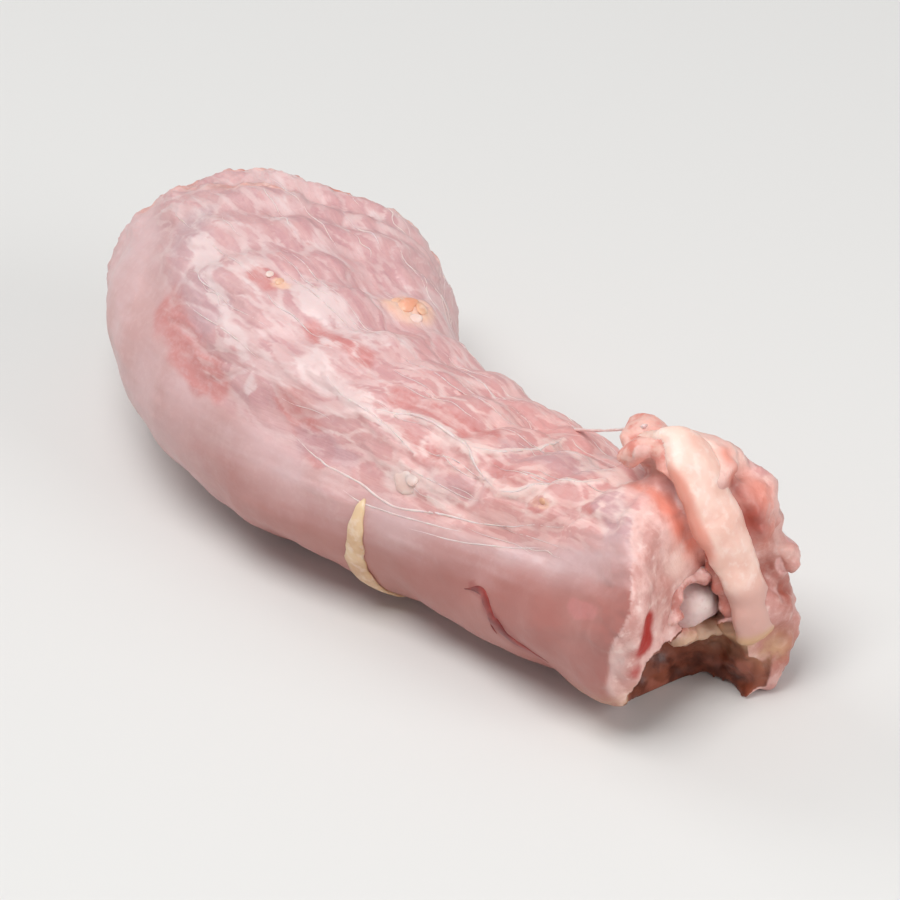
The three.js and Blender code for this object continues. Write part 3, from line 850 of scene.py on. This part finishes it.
def laid_stations(places, normals_there, half_widths, half_depths, sink):
    """Stations of a rod that lies on the flesh, sunk into it by a share of its depth."""
    stations = []
    for i, (place, normal) in enumerate(zip(places, normals_there)):
        ahead = places[min(i + 1, len(places) - 1)] - places[max(i - 1, 0)]
        side = normal.cross(ahead).normalized()
        out = ahead.cross(side).normalized()
        centre = place + out * half_depths[i] * (1 - 2 * sink)
        stations.append((centre, side, out, half_widths[i], half_depths[i]))
    return stations


# %% [markdown]
# ## The bone
# At the cut end the last neck bone shows as a small blunt knob, pinkish grey where gristle covers it and
# cream at its lower rim. At the thick end the hole for the spinal cord shows in it. A copy of the measured
# bone is rebuilt and smoothed like the flesh, and gets the small pits of sawn bone.

# %% Bone
BONE_FACE = 0.5 * MM
bone = even_skin("neck_bone", "bone_skin", BONE_FACE, smoothing=6)
bone_points = read_vectors(bone.data, "co")
bone_normals = read_vectors(bone.data, "normal")
bone_across, bone_up = neck_places(bone_points)[1:]
bone_lift = 0.22 * unevenness(bone_points, 2.6 * MM, 71) + 0.1 * unevenness(bone_points, 0.9 * MM, 73)
bone_points = bone_points + bone_normals * (bone_lift * MM)[:, None]
move_points(bone.data, bone_points)
keep_on_points(bone.data, "low", rise(-bone_up, 3.5 * MM, 6 * MM))
keep_on_points(bone.data, "middle", bell(np.hypot(bone_across / MM - 1.6, bone_up / MM), 3))


def bone_finish():
    f = Finish("gristly_bone", Subsurface_Weight=0.15, Coat_Weight=0.15, Coat_Roughness=0.3)
    place = f.place()
    clouds, pits = f.noise(place, 240, 3.0), f.noise(place, 900, 2.0)
    colour = f.mix(f.rise(clouds, 0.35, 0.65), (198, 152, 148), (216, 182, 178))
    colour = f.mix(f["middle"] * 0.8, colour, (228, 214, 208))
    colour = f.mix(f["low"] * 0.85, colour, (216, 184, 144))
    colour = f.mix(f.rise(pits, 0.55, 0.75) * 0.3, colour, (190, 132, 126))
    height = pits * 0.00008 + clouds * 0.0001
    return f.finish(Base_Color=colour, Roughness=0.42 + 0.2 * clouds, height=height)


ride_as(bone, bone_finish())
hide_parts("neck_bone")

# %% [markdown]
# Torn tissue lies round the bone as a soft collar at each end and hides the gap to the flesh. A collar is a
# rod bent to a ring that follows the face of the cut, uneven in thickness.

# %% Collars round the bone
COLLAR_RINGS = 90
COLLAR_RADII = (6.5, 6.1)
COLLAR_HALF_WIDTH = 1.9 * MM
COLLAR_READ_AT = 1.3
COLLAR_SWAY = 2 * MM
COLLAR_SOFTNESS = 8
COLLAR_SINK = 1.3 * MM


def collar_finish():
    f = Finish("torn_tissue", Subsurface_Weight=0.2)
    lumps = f.noise(f.place(), 420, 3.0, 0.6)
    colour = f.mix(f.rise(lumps, 0.35, 0.65), (196, 128, 118), (226, 180, 172))
    colour = f.mix(f["low"] * 0.8, colour, (208, 172, 140))
    return f.finish(Base_Color=colour, Roughness=0.4, height=lumps * 0.0003)


def collar_piece(name, end, at, finish):
    """A ring of tissue on the face of a cut, whose level is read a little outside of the ring. End is mm
    along the neck, and at is mm across and up from the middle line."""
    centre, across_way, up_way, out_way = middle_frame(end * MM)
    out_way = out_way if end > LENGTH / MM / 2 else -out_way
    middle = centre + (across_way * at[0] + up_way * at[1]) * MM
    angles = [2 * math.pi * i / COLLAR_RINGS for i in range(COLLAR_RINGS)]
    wide, high = across_way * COLLAR_RADII[0] * MM, up_way * COLLAR_RADII[1] * MM
    ring = [wide * math.cos(angle) + high * math.sin(angle) for angle in angles]
    starts = [middle + away * COLLAR_READ_AT + out_way * OUTSIDE for away in ring]
    levels = np.array([(surface.ray_cast(start, -out_way)[0] - middle).dot(out_way) for start in starts])
    levels = np.clip(levels, np.median(levels) - COLLAR_SWAY, np.median(levels) + COLLAR_SWAY)
    looped = np.concatenate([levels[-COLLAR_SOFTNESS:], levels, levels[:COLLAR_SOFTNESS]])
    levels = np.convolve(looped, np.ones(2 * COLLAR_SOFTNESS + 1) / (2 * COLLAR_SOFTNESS + 1), "valid")
    stations = []
    for i in range(COLLAR_RINGS + 1):
        away, level = ring[i % COLLAR_RINGS], levels[i % COLLAR_RINGS]
        place = middle + away
        wave = 1 + 0.5 * swell(place, 2.5)
        shift = level - COLLAR_SINK + 0.6 * MM * noise.noise(place / (3.5 * MM) + Vector((5, 0, 0)))
        half = COLLAR_HALF_WIDTH * wave
        stations.append((place + out_way * shift, away.normalized(), out_way, 0.8 * half, half))
    shape = bmesh.new()
    add_rod(shape, stations, sides=14)
    caps = [face for face in shape.faces if len(face.verts) > 4]
    bmesh.ops.delete(shape, geom=caps, context="FACES")
    bmesh.ops.remove_doubles(shape, verts=shape.verts, dist=WELD)
    shape.normal_update()
    for vert in shape.verts:
        vert.co += vert.normal * 0.8 * MM * swell(vert.co, 1.8)
    collar = piece_from(shape, name, finish)
    collar_up = neck_places(read_vectors(collar.data, "co"))[2]
    keep_on_points(collar.data, "low", rise(-collar_up, 3.5 * MM, 6 * MM) * (end > LENGTH / MM / 2))
    return collar


tissue = collar_finish()
collar_piece("cut_end_collar", LENGTH / MM, (2.2, -1.4), tissue)
collar_piece("thick_end_collar", 0, (0, -1), tissue)

# %% [markdown]
# ## The band of fat
# A soft band of fat hangs over the cut end from a knob at the top. It is the palest thing on the neck, so
# its edge must be crisp. Modelled as a part of the flesh it would be blurred by the even faces. So it is a
# rod of its own, laid over the band of the measured model and a little fuller, with wavy edges.

# %% Fat finish
def fat_finish(name, light, shade, ends=()):
    """Soft fat. Ends are names of attributes with the colour that the fat takes there."""
    f = Finish(name, Subsurface_Weight=0.3, Subsurface_Radius=(1.0, 0.6, 0.45), Subsurface_Scale=0.002,
               Coat_Weight=0.25, Coat_Roughness=0.22)
    place = f.place()
    clouds, grains = f.noise(place, 180, 3.0), f.noise(place, 700, 3.0)
    colour = f.mix(f.rise(clouds, 0.35, 0.65), shade, light)
    colour = f.mix(f.rise(grains, 0.5, 0.7) * 0.35, colour, (252, 232, 224))
    for attribute, tone in ends:
        colour = f.mix(f.rise(f[attribute] + 0.5 * clouds, 0.3, 1.1), colour, tone)
    height = grains * 0.00012 + clouds * 0.0002
    return f.finish(Base_Color=colour, Roughness=0.36 + 0.2 * grains, height=height)


BAND_ENDS = (("low", (212, 164, 152)), ("lowest", (206, 162, 124)), ("edge", (226, 150, 132)))
band_fat = fat_finish("band_fat", (246, 210, 196), (236, 188, 172), BAND_ENDS)
cream_fat = fat_finish("cream_fat", (244, 218, 208), (234, 196, 186))
yellow_fat = fat_finish("yellow_fat", (238, 202, 162), (216, 170, 130))

# %% Fat band
BAND_HALF_DEPTH = 2.1 * MM
BAND_SIDES = 28
END_ROUNDING = 0.08

centre, across_way, up_way, out_way = middle_frame(LENGTH)


def on_cut_face(across_mm, up_mm, out_mm):
    """The place that is so many mm across, up and out from the middle of the cut face."""
    return centre + (across_way * across_mm + up_way * up_mm + out_way * out_mm) * MM


band_places = [on_cut_face(*ring[:3]) for ring in band_line]
stations = []
for i, place in enumerate(band_places):
    share = i / (BAND_RINGS - 1)
    ahead = band_places[min(i + 1, BAND_RINGS - 1)] - band_places[max(i - 1, 0)]
    side = out_way.cross(ahead).normalized()
    out = ahead.cross(side).normalized()
    round_end = math.sqrt(max(1 - max(0, 1 - min(share, 1 - share) / END_ROUNDING) ** 2, 0.01))
    wave = 1 + 0.14 * swell(place, 5)
    half_width = band_line[i][3] * MM * round_end * wave
    stations.append((place, side, out, half_width, BAND_HALF_DEPTH * round_end))
shape = bmesh.new()
add_rod(shape, stations, BAND_SIDES)
shape.normal_update()
for vert in shape.verts:
    soft_lump = 0.45 * swell(vert.co, 4) + 0.12 * swell(vert.co, 1.1)
    vert.co += vert.normal * soft_lump * MM
fat_band = piece_from(shape, "fat_band", band_fat)
band_across, band_up = neck_places(read_vectors(fat_band.data, "co"))[1:]
band_middle = np.interp(-band_up / MM, -band_line[20:, 1], band_line[20:, 0])
keep_on_points(fat_band.data, "low", rise(-band_up, -6 * MM, 1 * MM))
keep_on_points(fat_band.data, "lowest", rise(-band_up, 4 * MM, 8 * MM))
near_edge = rise(band_middle - band_across / MM, 2.6, 4.2) * rise(band_up, 6 * MM, 12 * MM)
keep_on_points(fat_band.data, "edge", near_edge * 0.8)

# %% [markdown]
# Where the band crosses the bone the shade under it would show as a black gap. A narrower rod of dark red
# tissue lies under the band and fills it; its dark red is painted shade, standing in for the shade there.

# %% Root of the band
ROOT_FIRST, ROOT_LAST = 46, 79
ROOT_BELOW, ROOT_NEARER = 2.2 * MM, 0.9 * MM
ROOT_HALF_DEPTH = 1.8 * MM

root_stations = []
for place, side, out, half_width, _ in stations[ROOT_FIRST:ROOT_LAST]:
    share = (len(root_stations) + 0.5) / (ROOT_LAST - ROOT_FIRST)
    full = math.sin(math.pi * share) ** 0.4 * (1 + 0.3 * swell(place, 2))
    place = place - out_way * ROOT_BELOW - across_way * ROOT_NEARER
    root_stations.append((place, side, out, 0.9 * half_width * full, ROOT_HALF_DEPTH * full))
shape = bmesh.new()
add_rod(shape, root_stations, sides=20)
# The rod's dark red is painted shade for the gap under the band.
gap_shade_tissue = fat_finish("gap_shade_tissue", (206, 132, 118), (172, 88, 74))
piece_from(shape, "band_root", gap_shade_tissue)

# %% [markdown]
# ## Fat on the sides
# A strap of yellowish fat crosses the smooth muscle, and small grains of fat sit in the film. The strap is
# a flat rod laid on the surface. The grains are small balls, squashed onto it and made uneven.

# %% Fat strap
# Mm along, degrees round and half the width in mm.
STRAP_LINE = [
    (78.4, 158, 0.2), (78.3, 163, 0.9), (78.0, 171, 1.3), (77.3, 183, 1.7), (76.0, 197, 2.0),
    (76.2, 210, 2.2), (77.6, 224, 1.5), (79, 237, 0.3),
]
STRAP_RINGS = 40
STRAP_HALF_DEPTH = 0.55 * MM

strap_line = soft_line(STRAP_LINE, STRAP_RINGS)
places, ways_out = zip(*[on_side_at(a, d) for a, d, _ in strap_line])
widths = [mark[2] * MM * (1 + 0.25 * swell(place, 2.5)) for mark, place in zip(strap_line, places)]
depths = [min(STRAP_HALF_DEPTH, 0.5 * width) for width in widths]
shape = bmesh.new()
add_rod(shape, laid_stations(places, ways_out, widths, depths, sink=0.35), sides=14)
piece_from(shape, "fat_strap", yellow_fat)

# %% Fat grains
# Mm along, degrees round and radius in mm.
ORANGE_GRAINS = [(42.9, 102, 1.0), (54.2, 54, 1.9), (56.4, 50, 1.4), (52.0, 56, 1.2), (110.7, 119, 0.7)]
WHITE_GRAINS = [(83.6, 142, 2.4), (84.9, 138, 1.5), (41.4, 104, 0.8), (57.8, 54, 1.1)]


def grains_piece(name, grains, finish):
    shape = bmesh.new()
    for along_mm, degrees_at, size in grains:
        place, normal = on_side_at(along_mm, degrees_at)
        place = place - normal * 0.1 * size * MM
        turn_to = normal.to_track_quat("Z", "Y").to_matrix().to_4x4()
        flat = Matrix.Diagonal((size * MM, size * MM * 0.8, size * MM * 0.32, 1))
        laid = Matrix.Translation(place) @ turn_to @ flat
        ball = bmesh.ops.create_icosphere(shape, subdivisions=3, radius=1, matrix=laid)
        for vert in ball["verts"]:
            vert.co += (vert.co - place) * 0.35 * swell(vert.co, 1.7)
    return piece_from(shape, name, finish)


orange_fat = fat_finish("orange_fat", (240, 192, 162), (228, 158, 128))
grains_piece("orange_fat_grains", ORANGE_GRAINS, orange_fat)
grains_piece("white_fat_grains", WHITE_GRAINS, cream_fat)

# %% [markdown]
# ## Threads and veins
# Film that is pulled together shows as white threads. The strong ones are laid where they lie on the real
# neck. Many finer ones follow the grain and begin at seeded random places, so that every run is the same.

# %% Thread helpers
def add_thread(shape, marks, radius, rings, sides=6, sink=0.5, flatness=0.7):
    """A thread over the side of the flesh, through places given as mm along and degrees round."""
    line = soft_line(marks, rings)
    places, ways_out = zip(*[on_side_at(a, d) for a, d in line])
    taper = [math.sin(math.pi * min(max((i + 0.5) / rings, 0.02), 0.98)) ** 0.8 for i in range(rings)]
    sizes = [radius * MM * t * (1 + 0.4 * swell(place, 2)) for t, place in zip(taper, places)]
    depths = [size * flatness for size in sizes]
    add_rod(shape, laid_stations(places, ways_out, sizes, depths, sink), sides)


def thread_finish(name, light, shade):
    f = Finish(name, Subsurface_Weight=0.2)
    clouds = f.noise(f.place(), 400, 2.0)
    return f.finish(Base_Color=f.mix(f.rise(clouds, 0.35, 0.65), shade, light), Roughness=0.4)


# %% Strong threads
SEAM_THREADS = [
    ([(61, 150), (65, 152), (70, 153), (76, 153), (83.7, 155), (92.5, 147), (102.4, 139), (118.6, 123)],
     0.55),
    ([(74, 159), (80, 160), (91.6, 154), (98, 149)], 0.4),
    ([(88, 161), (97, 155), (108, 146), (114, 139)], 0.35),
]
strong_shape = bmesh.new()
for marks, thickness in FILM_RIDGES + SEAM_THREADS:
    add_thread(strong_shape, marks, 0.4 * thickness, rings=12 * len(marks), sink=0.62, flatness=0.5)
film_thread = thread_finish("film_thread", (240, 216, 210), (230, 196, 192))
piece_from(strong_shape, "strong_threads", film_thread)

# %% Fine threads
FINE_THREAD_COUNT = 80
FINE_THREAD_STARTS, FINE_THREAD_LAST = (8, 112), 122
FINE_THREAD_DEGREES = (10, 150)
FINE_THREAD_LENGTHS = (5, 20)
FINE_THREAD_RADII = (0.06, 0.12)
rng = np.random.default_rng(11)
fine_shape = bmesh.new()
for _ in range(FINE_THREAD_COUNT):
    start = rng.uniform(*FINE_THREAD_STARTS)
    angle = rng.uniform(*FINE_THREAD_DEGREES)
    length = rng.uniform(*FINE_THREAD_LENGTHS)
    marks = []
    for share in np.linspace(0, 1, 5):
        at = start + share * length
        turned_by = math.degrees((swept(at * MM) - swept(start * MM)) / GIRTH_RADIUS)
        marks.append((min(at, FINE_THREAD_LAST), angle - turned_by + rng.normal(0, 0.8)))
    add_thread(fine_shape, marks, rng.uniform(*FINE_THREAD_RADII), rings=14, sides=5, sink=0.5)
piece_from(fine_shape, "fine_threads", film_thread)

# %% Free strand of film
# From mm along and degrees round, to mm across, up and out from the middle of the cut face.
STRAND_FROM = (94.5, 47)
STRAND_TO = (2.8, 26.2, -14.2)
STRAND_RADIUS = 0.32 * MM
STRAND_SAG = 0.5 * MM
STRAND_RINGS = 30

strand_start = on_side_at(*STRAND_FROM)[0] - up_way * STRAND_RADIUS
strand_end = on_cut_face(*STRAND_TO)
ahead = (strand_end - strand_start).normalized()
side = ahead.cross(up_way).normalized()
stations = []
for share in np.linspace(0, 1, STRAND_RINGS):
    place = strand_start.lerp(strand_end, share) - up_way * STRAND_SAG * math.sin(math.pi * share)
    size = STRAND_RADIUS * (1 + 0.6 * (2 * share - 1) ** 4 + 0.5 * swell(place, 2.5))
    stations.append((place, side, side.cross(ahead), size, size * 0.7))
shape = bmesh.new()
add_rod(shape, stations, sides=8)
piece_from(shape, "film_strand", film_thread)

# %% Vein
VEIN = [(100.3, 178), (104.5, 174), (106.3, 180), (107.7, 187), (110.5, 194), (114, 198), (118, 202)]
vein_shape = bmesh.new()
add_thread(vein_shape, VEIN, 1.25, rings=90, sides=12, sink=0.55, flatness=0.28)
add_thread(vein_shape, [(107.4, 186), (106.6, 191), (107.4, 196)], 0.35, rings=16, sides=6, sink=0.6)
piece_from(vein_shape, "vein", thread_finish("blood_vein", (158, 58, 50), (124, 36, 34)))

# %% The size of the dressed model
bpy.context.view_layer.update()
print("dressed model, mm:", [round(side / MM, 1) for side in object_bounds()[1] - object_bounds()[0]])
